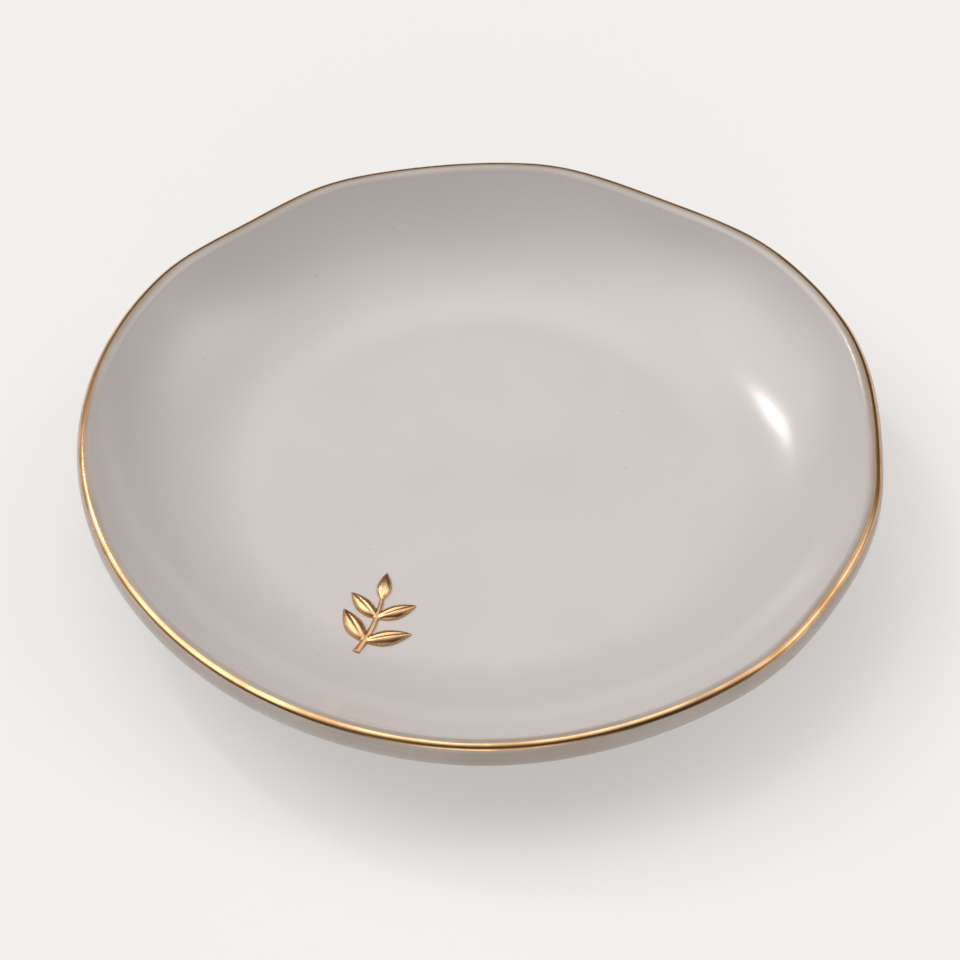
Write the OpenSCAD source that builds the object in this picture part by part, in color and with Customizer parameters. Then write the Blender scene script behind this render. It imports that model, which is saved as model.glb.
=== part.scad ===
// Ring dish: a shallow round dish of fired clay on a low turned foot, glazed inside and
// out. Its lip was pressed by hand while soft, so the rim waves gently in plan and in
// height. A fine gilded line follows the lip, and a small gilded leaf sprig stands
// raised on the floor, near its edge.
//
// The origin is the centre of the foot's resting plane, and +Z is up.
// The section is set by tangent arcs: flat floor, bowl arc, full-round lip, upright side,
// shoulder arc, and an underside that runs parallel to the bowl.

/* [Dish] */
// Overall diameter of the dish as turned, before its rim is pressed
rim_d = 121.5; // [112:0.5:140]
// Overall height, from the resting plane to the crest of the lip
dish_h = 17.5; // [16:0.25:22]
// Diameter of the flat floor inside
floor_d = 68; // [62:1:76]
// Thickness of the floor and the wall, glaze included
wall_t = 4; // [3.6:0.1:5]
// Thickness of the full-round lip, glaze included
lip_t = 3; // [2.4:0.1:3.4]
// Height of the upright band between the round of the lip and the shoulder
lip_side = 0.5; // [0.2:0.05:1]

/* [Pressed rim] */
// How far the deepest typical finger press moves the lip inwards
press_depth = 1.3; // [0.4:0.05:2]
// Share of its way inwards by which a pressed lip also sinks
press_drop_share = 0.3; // [0:0.05:0.6]

/* [Foot] */
// Height of the foot under the glazed underside
foot_h = 1.8; // [1.2:0.1:3]
// Width of the foot ring
foot_w = 3; // [2.4:0.1:5]
// How far the foot ring's outer side lies inside the edge of the flat floor
foot_inset = 2; // [1.6:0.1:6]
// Rounding of the foot ring's two lower edges
foot_round = 0.6; // [0.3:0.05:0.9]
// Bare clay left on both sides of the foot ring, where the glaze is wiped back
foot_margin = 0.8; // [0.5:0.05:1.2]

/* [Glaze and gilding] */
// Thickness of the glaze
glaze_t = 0.35; // [0.2:0.05:0.5]
// Width of the gilded line, measured over the lip
gild_w = 1; // [0.6:0.05:1.4]
// How far the middle of the gilded line leans outwards from the crest, in degrees
gild_lean = 30; // [15:1:40]
// Thickness of the gilding
gild_t = 0.12; // [0.08:0.01:0.2]

/* [Leaf sprig] */
// Direction of the sprig from the middle of the dish, in degrees from +X
sprig_at = 239; // [180:1:300]
// How far the sprig's middle lies inside the edge of the flat floor
sprig_inset = 4.2; // [2:0.1:10]
// Lean of the sprig from the dish's +Y direction, in degrees
sprig_lean = -14; // [-60:1:60]
// Radius of the stem's curve
stem_bend = 26; // [16:0.5:40]
// Length of the stem along its curve
stem_l = 12; // [9:0.25:15]
// Thickness of the stem
stem_d = 1.1; // [0.8:0.05:1.6]
// Length of the largest leaf
leaf_l = 7; // [4:0.1:8]
// Share of the room between two neighbouring leaves that a leaf takes up
leaf_fill_share = 0.92; // [0.6:0.01:0.95]
// Height of the largest leaf above the glaze
leaf_h = 0.9; // [0.5:0.05:1.2]
// Number of leaves on each side of the stem
leaf_rows = 2; // [2:1:4]
// Angle between a leaf and the stem, in degrees
leaf_splay = 52; // [40:1:60]

/* [Hidden] */

CLAY = "#ddd0c2";
PASTE = "#e6dccb";
GLAZE = "#d8d1ca";
GOLD = "#b98a4e";

// Steps round the dish, and steps along each stretch of the section
ROUND_STEPS = 80;
BOWL_STEPS = 6;
LIP_STEPS = 3;
LINE_STEPS = 2;
SIDE_STEPS = 2;
SHOULDER_STEPS = 3;
BELLY_STEPS = 4;
// Steps round the sprig's balls and round its stem
LEAF_STEPS = 160;
STEM_STEPS = 64;
// Finger presses: direction in degrees, share of press_depth, half the width in degrees
PRESSES = [[358, 1.08, 26.5], [61, 0.98, 21.5], [98, 0.4, 22], [128.5, 0.81, 18],
           [228, 1.06, 82], [297, 0.69, 33], [330, 0.92, 21.5]];
// Bevel of the glaze's wiped edge, as run to rise
WIPE_SLOPE = 0.6;
// Share of its full thickness that the gilding keeps at its two edges
GILD_EDGE_SHARE = 0.4;
// Share of its full size that the last leaf keeps
LEAF_TAPER_SHARE = 0.78;
// Share of the stem that is bare below the first leaves
STEM_BARE_SHARE = 0.2;
// How deep the sprig's blank reaches below the floor before the dish cuts it
SPRIG_ROOT = 1;
// Share of the sprig's length that lies below its middle
SPRIG_LOW_SHARE = 0.66;

floor_r = floor_d / 2;
floor_z = foot_h + wall_t;
lip_r = lip_t / 2;
lip_z = dish_h - lip_r;
crest_r = rim_d / 2 - lip_r;
// Bowl arc, tangent to the flat floor and to the round of the lip
bowl_rise = lip_z - floor_z;
bowl_run = crest_r - floor_r;
bowl_r = (bowl_run * bowl_run + bowl_rise * bowl_rise - lip_r * lip_r)
       / (2 * (bowl_rise + lip_r));
bowl_z = floor_z + bowl_r;
bowl_end = atan2(bowl_run, bowl_z - lip_z);
// Shoulder arc, tangent to the underside's arc and to the upright band
belly_r = bowl_r + wall_t;
shoulder_z = lip_z - lip_side;
shoulder_run = rim_d / 2 - floor_r;
shoulder_drop = bowl_z - shoulder_z;
shoulder_r = (belly_r * belly_r - shoulder_run * shoulder_run - shoulder_drop * shoulder_drop)
           / (2 * (belly_r - shoulder_run));
shoulder_x = rim_d / 2 - shoulder_r;
belly_end = atan2(shoulder_run - shoulder_r, shoulder_drop);
// Foot ring, and the clay underside that it is luted to
foot_r = floor_r - foot_inset;
clay_base_z = foot_h + glaze_t;
// Angles over the lip, outwards from its crest
line_half = gild_w / 2 / lip_r * 180 / PI;
line_start = gild_lean - line_half;
line_end = gild_lean + line_half;
// How far the sprig's stem turns along its curve
stem_turn = stem_l / stem_bend * 180 / PI;
// One row of leaves to the next, and the room between them half way along a leaf, on the
// side where the stem's curve brings them together. The gold takes its share first.
row_pitch = stem_l * (1 - STEM_BARE_SHARE) / leaf_rows;
leaf_room = row_pitch * (sin(leaf_splay) - leaf_l / 2 / stem_bend);
leaf_w = leaf_fill_share * (leaf_room - 2 * gild_t);

// Section points, in order: edge of the flat floor, bowl, lip, side, shoulder, underside,
// and the glaze's wiped edge beside the foot. deep is the depth under the glazed face.
function steps(n) = [for (i = [1:n]) i / n];
function mix(a, b, t) = a + (b - a) * t;
function bowl_point(a, deep) =
    [floor_r + (bowl_r + deep) * sin(a), bowl_z - (bowl_r + deep) * cos(a)];
function lip_point(a, deep) =
    [crest_r + (lip_r - deep) * sin(a), lip_z + (lip_r - deep) * cos(a)];
function shoulder_point(a, deep) =
    [shoulder_x + (shoulder_r - deep) * sin(a), shoulder_z - (shoulder_r - deep) * cos(a)];
function belly_point(a, deep) =
    [floor_r + (belly_r - deep) * sin(a), bowl_z - (belly_r - deep) * cos(a)];
function inside(deep) = concat(
    [bowl_point(0, deep)],
    [for (t = steps(BOWL_STEPS)) bowl_point(bowl_end * t, deep)],
    [for (t = steps(LIP_STEPS)) lip_point(mix(-bowl_end, line_start, t), deep)],
    [for (t = steps(LINE_STEPS)) lip_point(mix(line_start, gild_lean, t), deep)]);
function outside(deep) = concat(
    [lip_point(gild_lean, deep)],
    [for (t = steps(LINE_STEPS)) lip_point(mix(gild_lean, line_end, t), deep)],
    [for (t = steps(SIDE_STEPS)) lip_point(mix(line_end, 90, t), deep)],
    [shoulder_point(90, deep)],
    [for (t = steps(SHOULDER_STEPS)) shoulder_point(mix(90, belly_end, t), deep)],
    [for (t = steps(BELLY_STEPS)) belly_point(mix(belly_end, 0, t), deep)],
    [[foot_r + foot_margin + WIPE_SLOPE * (glaze_t - deep), foot_h + deep]]);
function gilded(rise) = [for (t = [-1:1 / LINE_STEPS:1])
    lip_point(gild_lean + line_half * t, -rise * mix(1, GILD_EDGE_SHARE, t * t))];

// The pressed rim: how far a press moves the lip, and how much of that each radius takes
function apart(a, b) = abs((a - b + 540) % 360 - 180);
function pressed(a) = press_depth * sum([for (p = PRESSES)
    apart(a, p[0]) < p[2] ? p[1] * (1 + cos(180 * apart(a, p[0]) / p[2])) / 2 : 0]);
function sum(v, i = 0) = i < len(v) ? v[i] + sum(v, i + 1) : 0;
function share(r) = pow(max(0, min(1, (r - floor_r) / (crest_r - lip_r - floor_r))), 2);
PUSH = [for (i = [0:ROUND_STEPS - 1]) pressed(360 * i / ROUND_STEPS)];
function ring(p) = [for (i = [0:ROUND_STEPS - 1])
    let (push = PUSH[i] * share(p[0]), a = 360 * i / ROUND_STEPS)
    [(p[0] - push) * cos(a), (p[0] - push) * sin(a), p[1] - press_drop_share * push]];
function rings(points) = [for (p = points) each ring(p)];

// Triangles between two rings of points, which start at numbers a and b. Every piece cuts
// its four-sided patches along the same diagonal, so pieces meet face to face.
function next(i) = (i + 1) % ROUND_STEPS;
function strip(a, b) = [for (i = [0:ROUND_STEPS - 1])
    each [[a + i, a + next(i), b + next(i)], [a + i, b + next(i), b + i]]];
function fan(middle, a) = [for (i = [0:ROUND_STEPS - 1]) [middle, a + next(i), a + i]];
function turned(faces) = [for (f = faces) [f[0], f[2], f[1]]];
function sheet(first, count) = [for (k = [0:count - 2])
    each strip(first + k * ROUND_STEPS, first + (k + 1) * ROUND_STEPS)];

// A solid inside one row of section points that ends on the flat at both ends
module solid_of(points) {
    n = len(points);
    last = (n - 1) * ROUND_STEPS;
    middle = n * ROUND_STEPS;
    polyhedron(
        points = concat(rings(points), [[0, 0, points[0][1]], [0, 0, points[n - 1][1]]]),
        faces = concat(sheet(0, n), fan(middle, 0), turned(fan(middle + 1, last))));
}

// A skin between two rows of section points. It closes over the middle of the dish, or
// ends in a narrow band at both edges.
module skin_of(deep, proud, over_middle = false) {
    n = len(deep);
    count = n * ROUND_STEPS;
    last = (n - 1) * ROUND_STEPS;
    middle = 2 * count;
    polyhedron(
        points = concat(rings(deep), rings(proud),
                        over_middle ? [[0, 0, deep[0][1]], [0, 0, proud[0][1]]] : []),
        faces = concat(
            turned(sheet(0, n)), sheet(count, n), turned(strip(last, count + last)),
            over_middle ? concat(turned(fan(middle, 0)), fan(middle + 1, count))
                        : strip(0, count)));
}

// The whole dish as one solid, at the given depth under its glazed face
module dish_solid(deep) {
    under = outside(deep);
    solid_of(concat(inside(deep), [for (k = [1:len(under) - 1]) under[k]]));
}

// A leaf: where two balls overlap, so it has a ridge along its middle and thin edges.
// It starts at the origin and runs along +Y. proud is the thickness of gold round it.
module leaf(length, width, height, proud) {
    half_l = length / 2 + proud;
    half_w = width / 2 + proud;
    top = height + proud;
    outline_r = (half_l * half_l / half_w + half_w) / 2;
    sunk = (half_l * half_l - top * top) / (2 * top);
    ball_r = norm([outline_r, sunk]);
    translate([0, length / 2, 0])
        intersection() {
            translate([outline_r - half_w, 0, -sunk]) sphere(r = ball_r, $fn = LEAF_STEPS);
            mirror([1, 0, 0])
                translate([outline_r - half_w, 0, -sunk])
                    sphere(r = ball_r, $fn = LEAF_STEPS);
            translate([-length, -length, -SPRIG_ROOT])
                cube([2 * length, 2 * length, SPRIG_ROOT + 2 * top]);
        }
}

// The stem's curve: the place at a share of its length, and the lean there
function stem_angle(t) = (t - SPRIG_LOW_SHARE) * stem_turn;
module at_stem(t) {
    translate([-stem_bend, 0, 0])
        rotate([0, 0, stem_angle(t)])
            translate([stem_bend, 0, 0]) children();
}

// The whole sprig, with gold of the given thickness round it and over the stem's two ends
module sprig_shape(proud) {
    over_end = proud / stem_bend * 180 / PI;
    translate([-stem_bend, 0, 0]) rotate([0, 0, stem_angle(0) - over_end])
        rotate_extrude(angle = stem_turn + 2 * over_end, $fn = 2 * STEM_STEPS)
            translate([stem_bend, 0]) circle(d = stem_d + 2 * proud, $fn = STEM_STEPS);
    for (row = [0:leaf_rows - 1], side = [-1, 1]) {
        t = mix(STEM_BARE_SHARE, 1, row / leaf_rows);
        size = mix(1, LEAF_TAPER_SHARE, row / leaf_rows);
        at_stem(t) rotate([0, 0, -side * leaf_splay])
            leaf(leaf_l * size, leaf_w * size, leaf_h * size, proud);
    }
    at_stem(1) translate([0, -stem_d, 0])
        leaf(leaf_l * LEAF_TAPER_SHARE, leaf_w * LEAF_TAPER_SHARE,
             leaf_h * LEAF_TAPER_SHARE, proud);
}

module sprig_blank(proud = 0) {
    away = floor_r - sprig_inset;
    translate([away * cos(sprig_at), away * sin(sprig_at), floor_z])
        rotate([0, 0, sprig_lean]) sprig_shape(proud);
}

// The fired clay, under the glaze
module dish_body() {
    color(CLAY) dish_solid(glaze_t);
}

// The turned foot, luted to the flat underside and left bare
module foot_ring() {
    inner = foot_r - foot_w;
    color(CLAY) rotate_extrude($fn = 120) {
        translate([inner, foot_round]) square([foot_w, clay_base_z - foot_round]);
        translate([inner + foot_round, 0]) square([foot_w - 2 * foot_round, clay_base_z]);
        for (x = [inner + foot_round, foot_r - foot_round])
            translate([x, foot_round]) circle(r = foot_round, $fn = 32);
    }
}

// The glaze of the inside, from the floor to the gilded line
module inner_glaze() {
    color(GLAZE) skin_of(inside(glaze_t), inside(0), over_middle = true);
}

// The glaze of the outside, from the gilded line to the wiped edge beside the foot
module outer_glaze() {
    color(GLAZE) skin_of(outside(glaze_t), outside(0));
}

// The glaze of the recess inside the foot ring
module base_glaze() {
    edge = foot_r - foot_w - foot_margin;
    color(GLAZE) rotate_extrude($fn = 120)
        polygon([[0, foot_h], [edge - WIPE_SLOPE * glaze_t, foot_h], [edge, clay_base_z],
                 [0, clay_base_z]]);
}

// The gilded line, fired on over the seam of the two coats of glaze
module rim_gilding() {
    color(GOLD) skin_of(gilded(0), gilded(gild_t));
}

// The leaf sprig, built up in fired paste on the glaze of the floor
module leaf_sprig() {
    color(PASTE) difference() {
        sprig_blank();
        dish_solid(0);
    }
}

// The gold over the sprig, down to the glaze round it
module sprig_gilding() {
    color(GOLD) difference() {
        sprig_blank(gild_t);
        sprig_blank();
        dish_solid(0);
    }
}

dish_body();
foot_ring();
inner_glaze();
outer_glaze();
base_glaze();
rim_gilding();
leaf_sprig();
sprig_gilding();
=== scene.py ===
"""Builds the looks of a pressed ceramic ring dish round its CAD frame.

The smooth coats of glaze, the foot and the gilded line are turned from the same section
as the solids. The raised leaf sprig is grown along its stem. Sizes are in metres.
"""

from functools import partialmethod
from math import atan2, cos, pi, radians, sin

import bmesh
import bpy
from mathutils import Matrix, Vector


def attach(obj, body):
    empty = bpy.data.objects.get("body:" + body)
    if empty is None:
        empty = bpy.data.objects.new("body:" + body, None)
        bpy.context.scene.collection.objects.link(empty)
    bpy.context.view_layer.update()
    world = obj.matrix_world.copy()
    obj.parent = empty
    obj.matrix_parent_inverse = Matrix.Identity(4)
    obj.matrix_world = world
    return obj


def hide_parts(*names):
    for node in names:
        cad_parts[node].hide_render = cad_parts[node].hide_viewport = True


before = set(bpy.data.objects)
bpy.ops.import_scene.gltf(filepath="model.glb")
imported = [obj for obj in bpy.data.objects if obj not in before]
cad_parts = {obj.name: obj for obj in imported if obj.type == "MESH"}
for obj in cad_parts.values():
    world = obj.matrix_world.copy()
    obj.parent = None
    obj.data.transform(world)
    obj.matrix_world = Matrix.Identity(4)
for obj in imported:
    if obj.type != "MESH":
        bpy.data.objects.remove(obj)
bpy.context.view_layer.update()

bl_info = {
    "name": "Gilded Ring Dish",
    "version": (1, 0, 0),
    "blender": (4, 5, 0),
    "location": "3D View > Sidebar > Ring Dish",
    "description": "Builds a pressed ceramic ring dish with a gilded lip and a leaf sprig",
    "category": "Add Mesh",
}

# Finger presses round the rim: direction in degrees, share of the depth, half the width
PRESSES = (
    (358, 1.08, 26.5),
    (61, 0.98, 21.5),
    (98, 0.4, 22),
    (128.5, 0.81, 18),
    (228, 1.06, 82),
    (297, 0.69, 33),
    (330, 0.92, 21.5),
)
# Share of its full thickness that the gilding keeps at its two edges
GILD_EDGE = 0.25
# How far the gilding and the sprig reach down into the glaze, where nobody sees them
SUNK = 0.00015
# The sprig: bare share of its stem, share of its thickness that the stem loses by its tip,
# size kept by its last leaf, share below its middle
STEM_BARE = 0.2
STEM_TAPER = 0.42
LEAF_TAPER = 0.78
SPRIG_LOW = 0.66
# How thin the glaze lies up the bowl's wall, and outside below the lip, where 1 lets the
# clay warm it fully. Outside this dark warm colour is painted shade as well: its share grows
# from its value at the lip to 1 at the bottom, so the side and the underside are painted
# darker downwards
WALL_THIN = 0.08
OUTSIDE_THIN_AND_SHADE = 0.6
# Points closer than this are one point
WELD = 0.000002
# Soft lights of the studio: direction and elevation in degrees, how narrow, how bright
LIGHTS = (
    (50, 75, 14, 1.3),
    (92, 58, 30, 1.9),
    (145, 62, 20, 1.9),
    (180, 52, 20, 2.6),
    (150, 32, 20, 1.9),
    (20, 45, 30, 2.6),
    (0, 6, 14, 1.5),
    (270, 8, 14, 2.7),
    (0, -90, 6, 1.8),
)
# The studio floor: how far under the foot's flat sole it starts, and how far out it ends
FLOOR_START, FLOOR_END = 0.0002, 4.0
# Where the camera stands, and how far it tilts up from straight down, in degrees
CAMERA_AT = (-0.00041, -0.3837, 0.4202)
CAMERA_TILT = 42.9
# Where the pale backdrop ends in what gold and glaze mirror, as the sine of its elevation:
# it is whole up to the lower value, and gone at the upper one
BACKDROP_FADE = 0.06
BACKDROP_TOP = 0.24


# ---- What a user sets ----


def metres(name, about, default, low, high, precision=4):
    """A length in metres"""
    return bpy.props.FloatProperty(name=name, description=about, default=default, min=low,
                                   max=high, unit="LENGTH", precision=precision)


def degrees(name, about, default, low=-360, high=360):
    """An angle, given in degrees and kept in radians"""
    return bpy.props.FloatProperty(
        name=name, description=about, default=radians(default), min=radians(low),
        max=radians(high), unit="ROTATION")


def amount(name, about, default, high, low=0.0, subtype="NONE"):
    """A plain number or a share"""
    return bpy.props.FloatProperty(name=name, description=about, default=default, min=low,
                                   max=high, subtype=subtype)


def count(name, about, default, low, high):
    """A whole number of steps or pieces"""
    return bpy.props.IntProperty(name=name, description=about, default=default, min=low,
                                 max=high)


def tone(name, about, default):
    """A colour, as linear light"""
    return bpy.props.FloatVectorProperty(name=name, description=about, default=default,
                                         min=0, max=1, subtype="COLOR")


class RingDishForm(bpy.types.PropertyGroup):
    """Sizes of the dish and of its foot"""

    rim: metres("Rim Diameter", "Overall diameter before the rim is pressed", 0.1215, 0.1, 0.15)
    height: metres(
        "Height", "From the resting plane to the crest of the lip", 0.0175, 0.014, 0.025)
    floor: metres("Floor Diameter", "Diameter of the flat floor inside", 0.068, 0.05, 0.08)
    wall: metres(
        "Wall", "Thickness of the floor and the wall, glaze included", 0.004, 0.003, 0.006)
    lip: metres("Lip", "Thickness of the round lip, glaze included", 0.003, 0.002, 0.0034)
    side: metres(
        "Lip Side", "Upright band between the lip and the shoulder", 0.0005, 0.0, 0.001)
    press_depth: metres(
        "Press Depth", "How far a deep finger press moves the lip inwards", 0.0013, 0.0, 0.002)
    press_drop: amount("Press Drop", "How far the lip sinks for its way inwards", 0.3, 1.0)
    foot_height: metres(
        "Foot Height", "Height of the foot under the glazed underside", 0.0018, 0.001, 0.004)
    foot_width: metres("Foot Width", "Width of the bare foot ring", 0.003, 0.002, 0.006)
    foot_inset: metres(
        "Foot Inset", "How far the foot lies inside the floor's edge", 0.002, 0.001, 0.008)
    foot_round: metres(
        "Foot Rounding", "Rounding of the foot's lower edges", 0.0006, 0.0002, 0.001)
    bare: metres(
        "Bare Margin", "Clay left bare on both sides of the foot", 0.0008, 0.0003, 0.0015)
    glaze: metres("Glaze", "Thickness of the glaze", 0.00035, 0.0001, 0.0006, precision=5)
    steps: count("Steps Round", "Faces round the dish", 360, 48, 480)


class RingDishGilding(bpy.types.PropertyGroup):
    """Sizes of the gilded line on the lip"""

    width: metres(
        "Line Width", "Width of the gilded line, measured over the lip", 0.001, 0.0004, 0.002)
    lean: degrees("Line Lean", "How far the line leans outwards from the crest", 30, 0, 45)
    thickness: metres(
        "Gold Thickness", "Thickness of the fired gold", 0.00006, 0.00002, 0.0002, precision=5)
    wobble: amount(
        "Brush Wobble", "How much the brushed edges wander", 0.16, 0.5, subtype="FACTOR")


class RingDishSprig(bpy.types.PropertyGroup):
    """Sizes of the raised leaf sprig"""

    at: degrees("Direction", "Direction of the sprig from the middle of the dish", 239)
    inset: metres(
        "Inset", "How far the sprig lies inside the floor's edge", 0.0042, 0.002, 0.02)
    lean: degrees("Lean", "Lean of the sprig from the dish's Y direction", -14)
    bend: metres("Stem Bend", "Radius of the stem's curve", 0.026, 0.01, 0.05)
    length: metres("Stem Length", "Length of the stem along its curve", 0.012, 0.006, 0.02)
    stem: metres("Stem Thickness", "Thickness of the stem at its foot", 0.0013, 0.0006, 0.002)
    leaf_length: metres("Leaf Length", "Length of the largest leaf", 0.0072, 0.003, 0.009)
    leaf_width: metres("Leaf Width", "Width of the largest leaf", 0.0029, 0.001, 0.004)
    leaf_height: metres(
        "Leaf Height", "Height of the largest leaf above the glaze", 0.00098, 0.0004, 0.0015)
    rows: count("Leaf Rows", "Leaves on each side of the stem", 2, 2, 5)
    splay: degrees("Leaf Splay", "Angle between a leaf and the stem", 52, 20, 80)
    grain: metres(
        "Relief Grain", "Finest detail that the fired relief keeps",
        0.0001, 0.00008, 0.0004, precision=5)


class RingDishColours(bpy.types.PropertyGroup):
    """Colours of the finishes, as linear light"""

    glaze: tone("Glaze", "Colour of the glaze where it lies thick", (0.572, 0.527, 0.508))
    # Dark warm colour of thin glaze at the lip and the foot, and painted shade down the outside
    thin: tone(
        "Thin Glaze", "Colour of the glaze where the clay warms it", (0.335, 0.26, 0.195))
    clay: tone("Clay", "Colour of the bare fired clay", (0.68, 0.58, 0.48))
    gold: tone("Gold", "Colour of the burnished gold", (0.72, 0.44, 0.23))
    gold_deep: tone(
        "Deep Gold", "Colour of the gold where it is thin or rubbed", (0.46, 0.25, 0.11))
    floor: tone("Studio Floor", "Colour of the pale floor and backdrop", (0.88, 0.862, 0.846))


class RingDishStage(bpy.types.PropertyGroup):
    """Light and camera of the studio"""

    fill: amount("Fill", "Level of the light from all round", 0.02, 2.0)
    lights: amount("Soft Lights", "Level of the studio's soft lights together", 0.99, 3.0)
    glint: amount(
        "Glint Strip", "Brightness of the narrow strip light at the back left", 36.0, 100.0)
    glint_turn: degrees("Glint Direction", "Direction of the strip, from the X axis", 132.5)
    glint_rise: degrees(
        "Glint Elevation", "Height of the strip's middle above the floor", 43, 0, 90)
    glint_width: degrees(
        "Glint Width", "Half the strip's width as the dish sees it", 1.4, 0, 45)
    glint_height: degrees(
        "Glint Height", "Half the strip's height as the dish sees it", 5.5, 0, 45)
    pale: amount(
        "Pale Shadow", "How far the camera sees the floor's own colour",
        0.5, 1.0, subtype="FACTOR")
    focal: amount(
        "Lens", "Focal length on a 36 mm sensor, in millimetres", 140.7, 300.0, low=20.0)


# ---- The section of the dish ----


class Section:
    """Arcs of the dish's section. Each place is a radius and a height, deep under the glaze."""

    def __init__(self, form):
        self.floor_r = form.floor / 2
        self.floor_z = form.foot_height + form.wall
        self.lip_r = form.lip / 2
        self.rim_r = form.rim / 2
        self.lip_z = form.height - self.lip_r
        self.crest_r = self.rim_r - self.lip_r
        run, rise = self.crest_r - self.floor_r, self.lip_z - self.floor_z
        self.bowl_r = (run**2 + rise**2 - self.lip_r**2) / (2 * (rise + self.lip_r))
        self.bowl_z = self.floor_z + self.bowl_r
        self.bowl_end = atan2(run, self.bowl_z - self.lip_z)
        self.belly_r = self.bowl_r + form.wall
        self.shoulder_z = self.lip_z - form.side
        out, drop = self.rim_r - self.floor_r, self.bowl_z - self.shoulder_z
        self.shoulder_r = (self.belly_r**2 - out**2 - drop**2) / (2 * (self.belly_r - out))
        self.shoulder_x = self.rim_r - self.shoulder_r
        self.belly_end = atan2(out - self.shoulder_r, drop)
        self.foot_r = self.floor_r - form.foot_inset
        self.foot_z = form.foot_height
        self.clay_z = form.foot_height + form.glaze

    def bowl(self, angle, deep=0.0):
        r = self.bowl_r + deep
        return self.floor_r + r * sin(angle), self.bowl_z - r * cos(angle)

    def lip(self, angle, deep=0.0):
        r = self.lip_r - deep
        return self.crest_r + r * sin(angle), self.lip_z + r * cos(angle)

    def shoulder(self, angle, deep=0.0):
        r = self.shoulder_r - deep
        return self.shoulder_x + r * sin(angle), self.shoulder_z - r * cos(angle)

    def belly(self, angle, deep=0.0):
        r = self.belly_r - deep
        return self.floor_r + r * sin(angle), self.bowl_z - r * cos(angle)

    def inside(self, lean, deep=0.0, fine=1):
        """From the middle of the floor over the bowl to the gilded line"""
        level = self.bowl(0, deep)[1]
        return join_runs(
            run_of(24 * fine, lambda t: (self.floor_r * t, level)),
            run_of(44 * fine, lambda t: self.bowl(self.bowl_end * t, deep)),
            run_of(14 * fine, lambda t: self.lip(mix(-self.bowl_end, lean, t), deep)))

    def outside(self, lean, deep=0.0, fine=1):
        """From the gilded line down the side and under the dish to the foot's margin"""
        return join_runs(
            run_of(12 * fine, lambda t: self.lip(mix(lean, pi / 2, t), deep)),
            run_of(2 * fine, lambda t: (self.rim_r - deep, mix(self.lip_z, self.shoulder_z, t))),
            run_of(14 * fine, lambda t: self.shoulder(mix(pi / 2, self.belly_end, t), deep)),
            run_of(40 * fine, lambda t: self.belly(self.belly_end * (1 - t), deep)))


def dish_form(scene):
    """The sizes that the user set, and the section that they give"""
    return scene.ring_dish_form, Section(scene.ring_dish_form)


def mix(a, b, share):
    """The value at a share of the way from a to b"""
    return a + (b - a) * share


def run_of(steps, place):
    """Places along one stretch of the section, both ends included"""
    steps = max(1, int(steps))
    return [place(k / steps) for k in range(steps + 1)]


def quarter(r, z, radius, start, end):
    """A quarter round about a middle, between two directions in degrees"""
    def place(t):
        turn = radians(mix(start, end, t))
        return r + radius * cos(turn), z + radius * sin(turn)

    return run_of(8, place)


def join_runs(*runs):
    """Stretches that follow each other, with each shared end taken once"""
    points = list(runs[0])
    for run in runs[1:]:
        points.extend(run[1:])
    return points


# ---- Node helpers ----


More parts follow.
